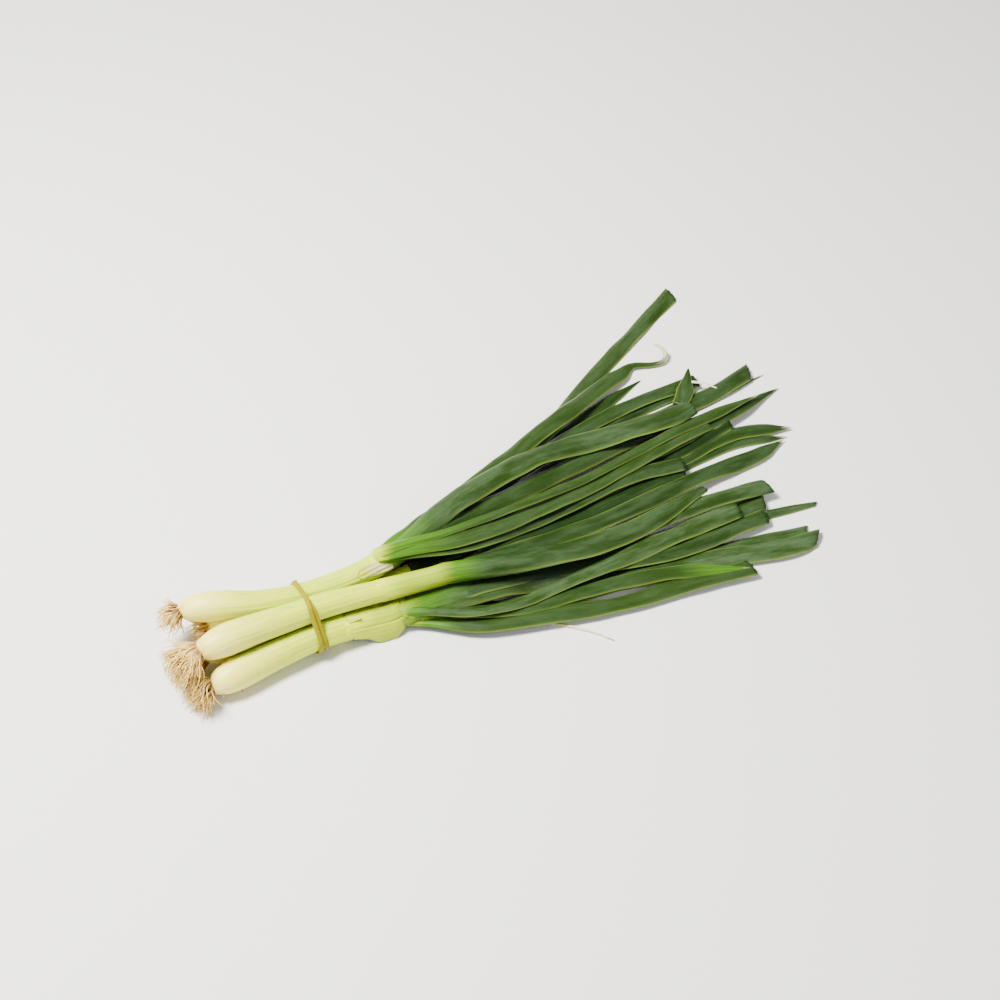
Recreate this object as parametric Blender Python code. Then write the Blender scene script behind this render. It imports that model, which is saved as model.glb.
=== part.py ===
"""A bunch of five spring onions lying down, tied with a yellow rubber band.

Metres, +Z up, +X from the roots to the leaf tips. The origin is the bottom
centre of the whole bunch. All sizes below are in millimetres.
"""

import math

import bpy
import numpy as np

MM = 0.001

# Overall sizes
LENGTH_FACTOR = 1.0  # stretches every plan position along the bunch
SPREAD_FACTOR = 1.0  # stretches every plan position across the bunch
GIRTH_FACTOR = 1.0  # scales the radii of the bulbs and shanks
LEAF_WIDTH_FACTOR = 1.0  # scales the widths of the leaves
ACROSS_FACTOR = SPREAD_FACTOR * GIRTH_FACTOR  # thicker shanks lie further apart

# Clearances
PIECE_GAP = 0.3  # between two pieces that touch in life
FLOOR_GAP = 0.3  # under the lowest stem or leaf

# Stems
STEM_SIDES = 14
STEM_STEP = 12.0  # distance between two rings of a stem
BULB_TIP_RINGS = 4  # that round off the root end
FINE_STEP = 2.0  # between the points at which clearances are worked out

# Leaves
LEAF_THICKNESS = 1.4
LEAF_SIDES = 8
LEAF_STEP = 13.0  # distance between two stations of a leaf
LEAF_START = 2.6  # from the end of a stem to the start of its leaves
LEAF_DROOP = 150.0  # distance over which a free leaf sinks to the floor
FAN_LENGTH = 35.0  # distance over which a leaf takes its own width
WIDEST_START = 1.15  # most that a leaf is wider than its own width at the neck
TIP_LENGTH = 16.0  # length of the narrowing end of a leaf
HEIGHT_CELL = 1.0  # cell of the height map that the leaves are laid on

# Rubber band
NECK_ROOM = 1.2  # more clearance over the neck of a supporting stem, for its leaves
NECK_REACH = 25.0  # distance before the neck over which that clearance grows
BAND_X = -136.5
BAND_WIDTH = 2.7
BAND_THICKNESS = 0.9
BAND_GAP = 0.8  # to the stems, which widen a little under the two turns
BAND_SPLAY = 2.6  # the two turns lean this far to either side of BAND_X
BAND_CROSSING = 75.0  # angle round the bunch at which the turns cross, degrees
BAND_POINTS = 36  # per turn
BAND_ARCH = 30.0  # distance over which the stems arch over the band

# Roots
ROOT_RIDGES = 7
ROOT_RIDGE_DENT = 0.22  # depth of the grooves, as a share of the radius
ROOT_GAP = 1.0  # from the root plate to the roots

# Stems from the root end: position along, position across, radius.
# The last row is the neck, where the leaves leave the stem.
LOWER_STEMS = {
    "near": [
        (-204, -21.5, 2.6), (-190, -19.5, 9.2), (-165, -17.5, 8.7),
        (-138, -17, 8.0), (-110, -19.5, 7.9), (-86, -23.5, 7.4),
    ],
    "middle": [
        (-200, 1, 2.6), (-186, 1, 8.0), (-165, 0.5, 7.4),
        (-138, -0.5, 6.2), (-110, -1, 6.2), (-70, 0, 6.6),
    ],
    "far": [
        (-191, 18.5, 2.6), (-178, 18, 7.8), (-160, 16.5, 7.0),
        (-138, 14, 6.2), (-110, 13, 6.0), (-75, 14, 6.6),
    ],
}
UPPER_STEMS = {
    "left": [
        (-203, 26.5, 2.6), (-189, 21.5, 8.5), (-165, 12.2, 7.3),
        (-138, 7.2, 6.4), (-110, 6, 6.4), (-88, 7, 6.8),
    ],
    "right": [
        (-204, -6.5, 2.6), (-190, -6, 8.9), (-165, -6.5, 8.5),
        (-138, -8, 7.5), (-110, -10.5, 6.8), (-80, -14, 6.3), (-54, -17.5, 5.8),
    ],
}
RESTS_ON = {"left": ("far", "middle"), "right": ("near", "middle")}

# Leaves in the order in which they lie, lowest first: name, the stem they
# grow from, width, roll about their length in degrees, whether the end is cut
# off square, and the plan positions that the middle of the leaf passes.
LEAVES = [
    (
        "leaf_middle_lowest", "middle", 11, 0, True,
        [(5, -48), (67, -60), (107, -68), (153, -79)],
    ),
    (
        "leaf_middle_narrow", "middle", 6.5, 0, False,
        [(4, -39), (66, -47), (128, -53), (174, -63)],
    ),
    (
        "leaf_middle_finger", "middle", 7, 0, False,
        [(-17, 1), (66, -2), (128, 1), (158, 2), (190, -9)],
    ),
    (
        "leaf_middle_split", "middle", 10, 0, False,
        [(-18, 5), (55, 1), (127, 5), (162, 9), (196, -5)],
    ),
    (
        "leaf_middle_dark", "middle", 10.5, 0, True,
        [(-18, 7), (43, 6), (116, 9), (160, 16)],
    ),
    (
        "leaf_far_thin", "far", 3.5, 0, False,
        [(-15, 27), (67, 33), (148, 39), (208, 44)],
    ),
    (
        "leaf_far_lowest", "far", 8, 0, True,
        [(-16, 30), (56, 44), (118, 54), (156, 55)],
    ),
    (
        "leaf_far_broad", "far", 11.5, 0, True,
        [(-7, 27), (65, 36), (137, 42), (172, 43), (196, 49)],
    ),
    (
        "leaf_far_pointed", "far", 9.5, 0, False,
        [(-19, 14), (63, 12), (135, 17), (170, 22), (209, 29)],
    ),
    (
        "leaf_far_short", "far", 7, 0, False,
        [(-18, 31), (45, 51), (97, 68), (134, 77)],
    ),
    (
        "leaf_far_folded", "far", 10, 10, True,
        [(-20, 24), (43, 45), (96, 58), (164, 58)],
    ),
    (
        "leaf_near_lowest", "near", 14, 0, True,
        [(-36, -45), (35, -59), (96, -72), (156, -90)],
    ),
    (
        "leaf_near_outer", "near", 11, 0, True,
        [(-57, -49), (-17, -61), (25, -74), (65, -79), (108, -88)],
    ),
    (
        "leaf_near_yellow", "near", 9.5, 0, False,
        [(-37, -49), (23, -60), (64, -69), (111, -90)],
    ),
    (
        "leaf_near_broad", "near", 15, 0, True,
        [(-38, -31), (3, -38), (65, -46), (146, -48)],
    ),
    (
        "leaf_near_under", "near", 11, 0, True,
        [(2, -36), (64, -56), (140, -59)],
    ),
    (
        "leaf_near_upper", "near", 12, 0, True,
        [(-59, -41), (-39, -49), (22, -50), (83, -48), (127, -48)],
    ),
    (
        "leaf_right_tube", "right", 11, 0, True,
        [(1, -30), (64, -33), (113, -36), (150, -41)],
    ),
    (
        "leaf_right_dark", "right", 11, 0, True,
        [(1, -10), (43, -10), (85, -7), (113, -4)],
    ),
    (
        "leaf_right_long", "right", 11.5, 0, False,
        [(-11, -22), (52, -21), (127, -14), (163, -15), (186, -10)],
    ),
    (
        "leaf_right_front", "right", 13.5, 0, False,
        [(-32, -25), (9, -36), (62, -36), (115, -27)],
    ),
    (
        "leaf_left_long", "left", 11, 0, True,
        [(-31, 27), (41, 55), (97, 88), (138, 109), (191, 135)],
    ),
    (
        "leaf_left_curled", "left", 11.5, 0, False,
        [(-42, 22), (19, 45), (83, 71), (136, 90), (151, 87), (162, 96)],
    ),
    (
        "leaf_left_ridge", "left", 12, -8, True,
        [(-43, 9), (21, 21), (74, 30), (130, 31)],
    ),
    (
        "leaf_left_inner", "left", 9.5, 0, True,
        [(-43, -8), (21, -4), (83, 3), (114, -2)],
    ),
    (
        "leaf_left_bright", "left", 10, 0, True,
        [(-44, -5), (19, -1), (81, 9), (144, 19)],
    ),
    (
        "leaf_left_narrow", "left", 8.5, 0, False,
        [(-45, 2), (17, 4), (70, 11), (132, 21), (190, 25)],
    ),
    (
        "leaf_left_broad", "left", 15, 0, True,
        [(-55, 12), (-3, 28), (61, 38), (140, 26)],
    ),
]

# Root tufts: stem, sideways swing, length, drop, width, height
ROOTS = [
    ("left", 2, 13, 10, 20, 12), ("right", -6, 18, 10, 24, 14), ("near", -4, 14, 4, 18, 10),
    ("middle", -1, 14, 4, 14, 8), ("far", 2, 10, 3.5, 12, 8),
]
# How far along a tuft (0 to 1) and how full it is there
ROOT_FULLNESS = [(0, 0.22), (0.25, 0.6), (0.6, 0.95), (0.85, 0.85), (1, 0.45)]

# A dried strand of leaf that lies loose on the floor beside the near plant
STRAND = [(-25, -54), (-4, -72), (6, -82), (14, -93)]
STRAND_RADIUS = 0.9
STRAND_STEP = 5.0

LEAF_COLOURS = {
    "left": (0.075, 0.17, 0.022), "right": (0.09, 0.19, 0.03),
    "near": (0.06, 0.14, 0.04), "middle": (0.05, 0.12, 0.02),
    "far": (0.06, 0.13, 0.025),
}
SHANK_COLOUR = (0.80, 0.82, 0.50)
ROOT_COLOUR = (0.62, 0.47, 0.27)
BAND_COLOUR = (0.95, 0.60, 0.04)
STRAND_COLOUR = (0.72, 0.66, 0.38)


def clear_scene():
    for obj in list(bpy.data.objects):
        bpy.data.objects.remove(obj, do_unlink=True)


def material(name, colour, roughness, metallic=0.0):
    made = bpy.data.materials.new(name)
    made.use_nodes = True
    shader = made.node_tree.nodes["Principled BSDF"]
    shader.inputs["Base Color"].default_value = (*colour, 1.0)
    shader.inputs["Roughness"].default_value = roughness
    shader.inputs["Metallic"].default_value = metallic
    made.diffuse_color = (*colour, 1.0)
    return made


def ease(t):
    t = np.clip(t, 0.0, 1.0)
    return t * t * (3 - 2 * t)


def smooth_path(points, samples=40):
    """A smooth curve through the points (centripetal Catmull-Rom)."""
    points = np.asarray(points, float)
    ends = [2 * points[0] - points[1], *points, 2 * points[-1] - points[-2]]
    path = []
    for a, b, c, d in zip(ends, ends[1:], ends[2:], ends[3:]):
        t1 = np.linalg.norm(b - a) ** 0.5
        t2 = t1 + np.linalg.norm(c - b) ** 0.5
        t3 = t2 + np.linalg.norm(d - c) ** 0.5
        for t in np.linspace(t1, t2, samples, endpoint=False):
            ab = a + (b - a) * t / t1
            bc = b + (c - b) * (t - t1) / (t2 - t1)
            cd = c + (d - c) * (t - t2) / (t3 - t2)
            abc = ab + (bc - ab) * t / t2
            bcd = bc + (cd - bc) * (t - t1) / (t3 - t1)
            path.append(abc + (bcd - abc) * (t - t1) / (t2 - t1))
    path.append(points[-1])
    return np.array(path)


def resampled(path, distances):
    along = np.r_[0, np.cumsum(np.linalg.norm(np.diff(path, axis=0), axis=1))]
    return np.stack([np.interp(distances, along, column) for column in path.T], 1)


def length_of(path):
    return float(np.linalg.norm(np.diff(path, axis=0), axis=1).sum())


def stem_outline(rows):
    """Rings (x, y, radius) of a stem, and how many of them round off its root end."""
    path = smooth_path([
        (x * LENGTH_FACTOR, y * ACROSS_FACTOR, r * GIRTH_FACTOR) for x, y, r in rows
    ])
    (x0, y0, r0), (x1, y1, r1) = path[0], path[int(np.argmax(path[:, 2]))]
    x_end = path[-1][0]
    stations = [*np.arange(x1, x_end - STEM_STEP / 2, STEM_STEP), x_end]
    rings = [
        (x, np.interp(x, path[:, 0], path[:, 1]), np.interp(x, path[:, 0], path[:, 2]))
        for x in stations
    ]
    # The root end is a quarter ellipse from the root plate to the widest ring
    widest = math.acos(r0 / r1)
    tip = []
    for i in range(BULB_TIP_RINGS):
        angle = widest * (1 - i / BULB_TIP_RINGS)
        reach = math.sin(angle) / math.sin(widest)
        tip.append((x1 + (x0 - x1) * reach, y1 + (y0 - y1) * reach, r1 * math.cos(angle)))
    return np.array(tip + rings)


def with_heights(rings, heights):
    """The rings as x, y, z, radius, with the rounded root end level."""
    heights[:BULB_TIP_RINGS] = heights[BULB_TIP_RINGS]
    return np.column_stack([rings[:, :2], heights, rings[:, 2]])


def lay_lower_stem(rings):
    """Rests a stem on the floor, arched a little over the band under it."""
    band = 2 * BAND_THICKNESS + BAND_GAP + PIECE_GAP
    away = (rings[:, 0] - BAND_X * LENGTH_FACTOR) / BAND_ARCH
    return with_heights(rings, rings[:, 2] + FLOOR_GAP + band * np.exp(-(away**2)))


def lay_upper_stem(rings, supports):
    """Sets a stem on those below it: each ring clears them over both its stretches."""
    fine_x = np.arange(rings[0, 0], rings[-1, 0], FINE_STEP)
    fine = np.column_stack([np.interp(fine_x, rings[:, 0], rings[:, k]) for k in (0, 1, 2)])
    need = np.zeros(len(fine))
    last = rings[0, 0]
    for under in supports:
        balls = resampled(under, np.arange(0, length_of(under), FINE_STEP))
        room = PIECE_GAP + NECK_ROOM * ease(1 - (under[-1, 0] - balls[:, 0]) / NECK_REACH)
        last = max(last, under[-1, 0])
        for (x, y, z, radius), gap in zip(balls, room):
            reach = fine[:, 2] + radius + gap
            away = (fine[:, 0] - x) ** 2 + (fine[:, 1] - y) ** 2
            need = np.maximum(need, z + np.sqrt(np.maximum(reach**2 - away, 0)) * (away < reach**2))
    heights = np.array([
        need[abs(fine_x - x) <= STEM_STEP / 2 + FINE_STEP].max() for x in rings[:, 0]
    ])
    # Past its supports a stem runs on level, over their leaves
    held = rings[:, 0] <= last
    heights[~held] = heights[held][-1]
    padded = np.pad(heights, 1, mode="edge")
    heights = np.maximum(heights, (padded[:-2] + padded[2:]) / 2)
    return with_heights(rings, heights)


def lay_stems():
    stems = {name: lay_lower_stem(stem_outline(rows)) for name, rows in LOWER_STEMS.items()}
    for name, rows in UPPER_STEMS.items():
        supports = [stems[under] for under in RESTS_ON[name]]
        stems[name] = lay_upper_stem(stem_outline(rows), supports)
    return stems


class HeightMap:
    """The top of everything laid so far, on a square grid."""

    def __init__(self, low, high):
        self.low = np.array(low, float)
        cells = ((np.array(high) - self.low) / HEIGHT_CELL).astype(int) + 1
        self.top = np.zeros(cells)

    def cells(self, x, y, turn):
        i = turn((x - self.low[0]) / HEIGHT_CELL).astype(int)
        j = turn((y - self.low[1]) / HEIGHT_CELL).astype(int)
        return (
            np.clip(i, 0, self.top.shape[0] - 1), np.clip(j, 0, self.top.shape[1] - 1)
        )

    def read(self, x, y):
        top = self.top[self.cells(x, y, np.round)]
        return np.where(top <= 0, FLOOR_GAP - PIECE_GAP, top)

    def cover(self, x, y, z):
        for turn in (np.floor, np.ceil):
            np.maximum.at(self.top, self.cells(x, y, turn), z)

    def cover_stem(self, stem):
        """All of a stem but its very end, which its own leaves start beside."""
        end = length_of(stem) - 2 * HEIGHT_CELL
        fine = resampled(stem, np.arange(0, end, HEIGHT_CELL))
        for side in np.linspace(-1, 1, 25):
            rise = math.sqrt(1 - side * side)
            self.cover(fine[:, 0], fine[:, 1] + side * fine[:, 3], fine[:, 2] + rise * fine[:, 3])


def leaf_route(stem, plan):
    """Plan path of a leaf from the neck of its stem through its plan positions."""
    ahead = stem[-1, :2] - stem[-2, :2]
    ahead /= np.linalg.norm(ahead)
    start = stem[-1, :2] + ahead * LEAF_START
    scaled = [(x * LENGTH_FACTOR, y * ACROSS_FACTOR) for x, y in plan]
    path = smooth_path([start, start + ahead * 8, *scaled])
    stations = max(6, round(length_of(path) / LEAF_STEP)) + 1
    return resampled(path, np.linspace(0, length_of(path), stations))


def lay_leaf(heights, stem, place, layers, width, roll, square, plan):
    """Stations of a leaf laid on what is there: x, y, z, width factor, roll."""
    route = leaf_route(stem, plan)
    along = np.r_[0, np.cumsum(np.linalg.norm(np.diff(route, axis=0), axis=1))]
    total = along[-1]
    own = width * LEAF_WIDTH_FACTOR
    neck = stem[-1, 3]
    offset = (place - (layers - 1) / 2) * (LEAF_THICKNESS + PIECE_GAP)
    chord = 1.8 * math.sqrt(max(neck**2 - offset**2, (neck / 2) ** 2))
    fanned = ease(along / (FAN_LENGTH * LENGTH_FACTOR))
    factor = np.interp(fanned, [0, 1], [min(chord / own, WIDEST_START), 1.0])
    if not square:
        factor *= np.interp(total - along, [0, TIP_LENGTH], [0.35, 1.0])
    tilt = math.radians(roll) * fanned
    # The clear height that the whole strip needs, finely along the leaf
    fine_along = np.linspace(0, total, int(total / HEIGHT_CELL) + 1)
    fine = resampled(route, fine_along)
    ahead = np.gradient(fine, axis=0)
    ahead /= np.linalg.norm(ahead, axis=1)[:, None]
    across = np.column_stack([-ahead[:, 1], ahead[:, 0]])
    fine_factor = np.interp(fine_along, along, factor)
    fine_tilt = np.interp(fine_along, along, tilt)
    half = own / 2 * fine_factor
    thick = LEAF_THICKNESS / 2 * fine_factor
    need = np.zeros(len(fine))
    for side in np.linspace(-1.05, 1.05, 13):
        x, y = (fine + across * (side * half * np.cos(fine_tilt))[:, None]).T
        lift = side * half * np.sin(fine_tilt)
        need = np.maximum(need, heights.read(x, y) + PIECE_GAP + thick - lift)
    # Each station clears all that lies under the stretches on both its sides
    reach = along[1] * 1.02
    clear = np.array([need[abs(fine_along - here) <= reach].max() for here in along])
    start = stem[-1, 2] + offset
    floor = FLOOR_GAP + LEAF_THICKNESS / 2
    sag = start + (floor - start) * ease(along / LEAF_DROOP)
    z = np.maximum(clear, sag)
    for _ in range(2):
        # A leaf is springy, so it spans a dip between two supports
        padded = np.pad(z, 1, mode="edge")
        z = np.maximum(z, (padded[:-2] + padded[2:]) / 2)
    fine_z = np.interp(fine_along, along, z)
    for side in np.linspace(-1, 1, 33):
        x, y = (fine + across * (side * half * np.cos(fine_tilt))[:, None]).T
        heights.cover(x, y, fine_z + side * half * np.sin(fine_tilt) + thick)
    return np.column_stack([route, z, factor, tilt])


def lay_leaves(stems):
    everything = np.array([p for leaf in LEAVES for p in leaf[5]], float)
    everything *= (LENGTH_FACTOR, ACROSS_FACTOR)
    low = everything.min(axis=0) - 30
    low[0] = min(stem[0, 0] for stem in stems.values()) - 10
    heights = HeightMap(low, everything.max(axis=0) + 30)
    strand = strand_path()
    for side in (-STRAND_RADIUS, 0, STRAND_RADIUS):
        path = resampled(strand, np.arange(0, length_of(strand), HEIGHT_CELL))
        heights.cover(path[:, 0], path[:, 1] + side, FLOOR_GAP + 2 * STRAND_RADIUS)
    for name in LOWER_STEMS:
        heights.cover_stem(stems[name])
    covered = set(LOWER_STEMS)
    layers = {}
    for leaf in LEAVES:
        layers[leaf[1]] = layers.get(leaf[1], 0) + 1
    laid = {}
    count = {}
    for name, owner, width, roll, square, plan in LEAVES:
        if owner not in covered:
            heights.cover_stem(stems[owner])
            covered.add(owner)
        place = count.get(owner, 0)
        count[owner] = place + 1
        laid[name] = lay_leaf(
            heights, stems[owner], place, layers[owner], width, roll, square, plan
        )
    return laid


def poly_curve(name, points, radii, profile, colour, tilts=None, cyclic=False, twist="Z_UP"):
    """A curve object through the points with the profile swept along it."""
    data = bpy.data.curves.new(name, "CURVE")
    data.dimensions = "3D"
    data.twist_mode = twist
    data.bevel_mode = "OBJECT"
    data.bevel_object = profile
    data.use_fill_caps = not cyclic
    spline = data.splines.new("POLY")
    spline.points.add(len(points) - 1)
    spline.use_cyclic_u = cyclic
    for i, (x, y, z) in enumerate(points):
        spline.points[i].co = (x * MM, y * MM, z * MM, 1)
        spline.points[i].radius = radii[i]
        spline.points[i].tilt = 0.0 if tilts is None else tilts[i]
    data.materials.append(colour)
    made = bpy.data.objects.new(name, data)
    PIECES.objects.link(made)
    return made


def profile_curve(name, outline):
    """A closed flat outline that other curves are swept with."""
    data = bpy.data.curves.new(name, "CURVE")
    data.dimensions = "2D"
    spline = data.splines.new("POLY")
    spline.points.add(len(outline) - 1)
    spline.use_cyclic_u = True
    for point, (x, y) in zip(spline.points, reversed(outline)):
        point.co = (x * MM, y * MM, 0, 1)
    made = bpy.data.objects.new(name, data)
    made.hide_render = True
    made.display_type = "WIRE"
    PROFILES.objects.link(made)
    return made


def ellipse(width, height, sides, dent=0.0):
    """An ellipse whose every second corner can be drawn in."""
    outline = []
    for i in range(sides):
        angle = 2 * math.pi * i / sides
        size = 1 - dent * (i % 2)
        outline.append((width / 2 * math.cos(angle) * size, height / 2 * math.sin(angle) * size))
    return outline


def bunch_outline(stems, x, offset, angle):
    """The point of a taut line round all the stems at x, where it faces the angle."""
    facing = (math.cos(angle), math.sin(angle))
    best = None
    for stem in stems.values():
        y, z, radius = (np.interp(x, stem[:, 0], stem[:, k]) for k in (1, 2, 3))
        reach = y * facing[0] + z * facing[1] + radius
        if best is None or reach > best[0]:
            best = (reach, y + (radius + offset) * facing[0], z + (radius + offset) * facing[1])
    return best[1:]


def make_band(stems):
    """A loop wound twice round the bunch. Its turns cross once."""
    x_mid = BAND_X * LENGTH_FACTOR
    base = BAND_THICKNESS / 2 + BAND_GAP * GIRTH_FACTOR
    over = BAND_THICKNESS + PIECE_GAP
    points = []
    for i in range(2 * BAND_POINTS):
        turn = 2 * math.pi * i / BAND_POINTS
        angle = turn + math.radians(BAND_CROSSING) - math.pi
        offset = base + over * (1 + math.sin(turn / 2)) / 2
        y, z = bunch_outline(stems, x_mid, offset, angle)
        points.append((x_mid + BAND_SPLAY * math.cos(turn / 2), y, z))
    strip = profile_curve("band_profile", rounded_strip(BAND_WIDTH, BAND_THICKNESS))
    poly_curve(
        "rubber_band", points, [1.0] * len(points), strip,
        material("yellow_rubber", BAND_COLOUR, 0.5), cyclic=True, twist="MINIMUM",
    )


def rounded_strip(width, height):
    cut = min(width, height) * 0.3
    a, b = width / 2, height / 2
    return [
        (a, b - cut), (a - cut, b), (cut - a, b), (-a, b - cut),
        (-a, cut - b), (cut - a, -b), (a - cut, -b), (a, cut - b),
    ]


def make_stems(stems):
    unit = profile_curve("stem_profile", ellipse(2, 2, STEM_SIDES))
    white = material("white_shank", SHANK_COLOUR, 0.35)
    for name, stem in stems.items():
        poly_curve(f"stem_{name}", stem[:, :3], stem[:, 3], unit, white)


def make_roots(stems):
    """A ridged tuft from each root plate, spreading and drooping."""
    tan = material("roots", ROOT_COLOUR, 0.9)
    for name, swing, length, drop, width, height in ROOTS:
        x, y, z, _ = stems[name][0]
        outline = ellipse(width, height, 2 * ROOT_RIDGES, ROOT_RIDGE_DENT)
        profile = profile_curve(f"roots_{name}_profile", outline)
        points = [
            (x - ROOT_GAP - length * t, y + swing * t * t, z - drop * ease(t))
            for t, _ in ROOT_FULLNESS
        ]
        poly_curve(f"roots_{name}", points, [full for _, full in ROOT_FULLNESS], profile, tan)


def strand_path():
    plan = smooth_path([(x * LENGTH_FACTOR, y * ACROSS_FACTOR) for x, y in STRAND])
    stations = round(length_of(plan) / STRAND_STEP) + 1
    return resampled(plan, np.linspace(0, length_of(plan), stations))


def make_strand():
    plan = strand_path()
    height = FLOOR_GAP + STRAND_RADIUS
    ring = profile_curve("strand_profile", ellipse(2, 2, 6))
    radii = [STRAND_RADIUS] * (len(plan) - 1) + [STRAND_RADIUS / 3]
    poly_curve(
        "dried_strand", [(x, y, height) for x, y in plan], radii, ring,
        material("dried_strand", STRAND_COLOUR, 0.7),
    )


def make_leaves(stems):
    laid = lay_leaves(stems)
    greens = {name: material(f"leaf_green_{name}", c, 0.4) for name, c in LEAF_COLOURS.items()}
    for name, owner, width, _, _, _ in LEAVES:
        stations = laid[name]
        outline = ellipse(width * LEAF_WIDTH_FACTOR, LEAF_THICKNESS, LEAF_SIDES)
        profile = profile_curve(f"{name}_profile", outline)
        poly_curve(
            name, stations[:, :3], stations[:, 3], profile, greens[owner], stations[:, 4]
        )


def centre_bunch():
    """Moves the bunch so that the bottom centre of its box is the origin."""
    bpy.context.view_layer.update()
    graph = bpy.context.evaluated_depsgraph_get()
    corners = []
    for piece in PIECES.objects:
        mesh = piece.evaluated_get(graph).to_mesh()
        corners += [tuple(v.co) for v in mesh.vertices]
        piece.evaluated_get(graph).to_mesh_clear()
    corners = np.array(corners)
    low, high = corners.min(axis=0), corners.max(axis=0)
    bunch = bpy.data.objects.new("spring_onion_bunch", None)
    bunch.location = (-(low[0] + high[0]) / 2, -(low[1] + high[1]) / 2, -low[2])
    bpy.context.scene.collection.objects.link(bunch)
    for piece in PIECES.objects:
        piece.parent = bunch


clear_scene()
PIECES = bpy.data.collections.new("spring_onions")
PROFILES = bpy.data.collections.new("swept_profiles")
for collection in (PIECES, PROFILES):
    bpy.context.scene.collection.children.link(collection)
STEMS = lay_stems()
make_stems(STEMS)
make_roots(STEMS)
make_band(STEMS)
make_strand()
make_leaves(STEMS)
centre_bunch()
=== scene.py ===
"""The looks of a bunch of spring onions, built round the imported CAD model.

Metres, with +Z up and +X towards the leaf tips. Distances along a stem or a leaf are in mm.
"""

import math

import bpy
import numpy as np
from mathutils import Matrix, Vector


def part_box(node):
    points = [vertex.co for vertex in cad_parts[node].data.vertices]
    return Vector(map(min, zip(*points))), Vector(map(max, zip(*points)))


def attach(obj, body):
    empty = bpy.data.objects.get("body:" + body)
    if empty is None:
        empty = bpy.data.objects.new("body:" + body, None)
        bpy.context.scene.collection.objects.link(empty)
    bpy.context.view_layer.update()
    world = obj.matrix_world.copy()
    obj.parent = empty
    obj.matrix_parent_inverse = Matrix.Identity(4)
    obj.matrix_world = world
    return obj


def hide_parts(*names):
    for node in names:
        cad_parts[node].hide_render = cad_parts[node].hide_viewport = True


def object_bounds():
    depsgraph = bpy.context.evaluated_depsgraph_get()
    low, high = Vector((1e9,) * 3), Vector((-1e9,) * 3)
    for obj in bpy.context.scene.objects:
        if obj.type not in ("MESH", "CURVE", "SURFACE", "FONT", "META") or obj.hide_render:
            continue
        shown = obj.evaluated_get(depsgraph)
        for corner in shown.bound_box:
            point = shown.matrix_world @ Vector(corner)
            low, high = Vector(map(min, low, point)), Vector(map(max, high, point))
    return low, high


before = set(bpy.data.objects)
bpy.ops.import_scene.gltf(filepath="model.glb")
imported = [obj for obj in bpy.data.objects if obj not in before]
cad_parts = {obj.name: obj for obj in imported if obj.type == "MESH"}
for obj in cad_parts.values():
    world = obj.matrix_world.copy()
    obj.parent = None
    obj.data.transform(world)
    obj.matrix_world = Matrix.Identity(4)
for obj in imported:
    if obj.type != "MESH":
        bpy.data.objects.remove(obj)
CAD_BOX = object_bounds()
MM = 0.001
ROOT = "root"


# ------------ small maths


def ease(t):
    t = np.clip(t, 0.0, 1.0)
    return t * t * (3 - 2 * t)


def unit(v):
    return v / np.maximum(np.linalg.norm(v, axis=-1, keepdims=True), 1e-12)


def profile(pairs, t):
    """Smoothly eased values between (place, value) pairs."""
    pairs = np.asarray(pairs, float)
    t = np.asarray(t, float)
    i = np.clip(np.searchsorted(pairs[:, 0], t, side="right") - 1, 0, len(pairs) - 2)
    span = np.maximum(pairs[i + 1, 0] - pairs[i, 0], 1e-9)
    return pairs[i, 1] + (pairs[i + 1, 1] - pairs[i, 1]) * ease((t - pairs[i, 0]) / span)


class Wave:
    """Smooth seeded noise of one variable, about -1 to 1, with features of about the given length."""

    def __init__(self, rng, length, octaves=3):
        self.parts = [
            (2 * math.pi / (length * f), rng.uniform(0, 2 * math.pi), 0.62**k)
            for k, f in enumerate((1.0, 0.61, 0.37, 0.23)[:octaves])
        ]

    def __call__(self, s):
        total = sum(a for _, _, a in self.parts)
        return sum(a * np.sin(f * s + p) for f, p, a in self.parts) / total


def arc(points):
    return np.r_[0, np.cumsum(np.linalg.norm(np.diff(points, axis=0), axis=1))]


CURVE_POINTS = 24  # worked out between two given points of a curve


def resample(points, step):
    """Points at even distances of about this step along a smooth curve through the given ones."""
    points = np.asarray(points, float)
    ends = np.vstack([2 * points[0] - points[1], points, 2 * points[-1] - points[-2]])
    out = []
    for k in range(1, len(ends) - 2):
        a, b, c, d = ends[k - 1 : k + 3]
        t1 = np.linalg.norm(b - a) ** 0.5
        t2 = t1 + np.linalg.norm(c - b) ** 0.5
        t3 = t2 + np.linalg.norm(d - c) ** 0.5
        t = np.linspace(t1, t2, CURVE_POINTS, endpoint=False)[:, None]
        ab, bc = a + (b - a) * t / t1, b + (c - b) * (t - t1) / (t2 - t1)
        cd = c + (d - c) * (t - t2) / (t3 - t2)
        abc, bcd = ab + (bc - ab) * t / t2, bc + (cd - bc) * (t - t1) / (t3 - t1)
        out.append(abc + (bcd - abc) * (t - t1) / (t2 - t1))
    path = np.vstack([*out, points[-1:]])
    along = arc(path)
    at = np.linspace(0, along[-1], max(4, int(round(along[-1] / step)) + 1))
    return np.column_stack([np.interp(at, along, path[:, k]) for k in range(path.shape[1])])


def directions(path):
    """Unit vectors along a path, level across it, and up from it."""
    ahead = unit(np.gradient(path, axis=0))
    across = unit(np.column_stack([-ahead[:, 1], ahead[:, 0], 0 * ahead[:, 0]]))
    return ahead, across, np.cross(ahead, across)


def laid_along(path, x, z, roll):
    """Rings of points on a path, from their places across and up in its section, rolled by an angle."""
    _, across, up = directions(path)
    side, lift = x * np.cos(roll) - z * np.sin(roll), x * np.sin(roll) + z * np.cos(roll)
    return path[:, None] + across[:, None] * side[..., None] + up[:, None] * lift[..., None]


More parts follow.
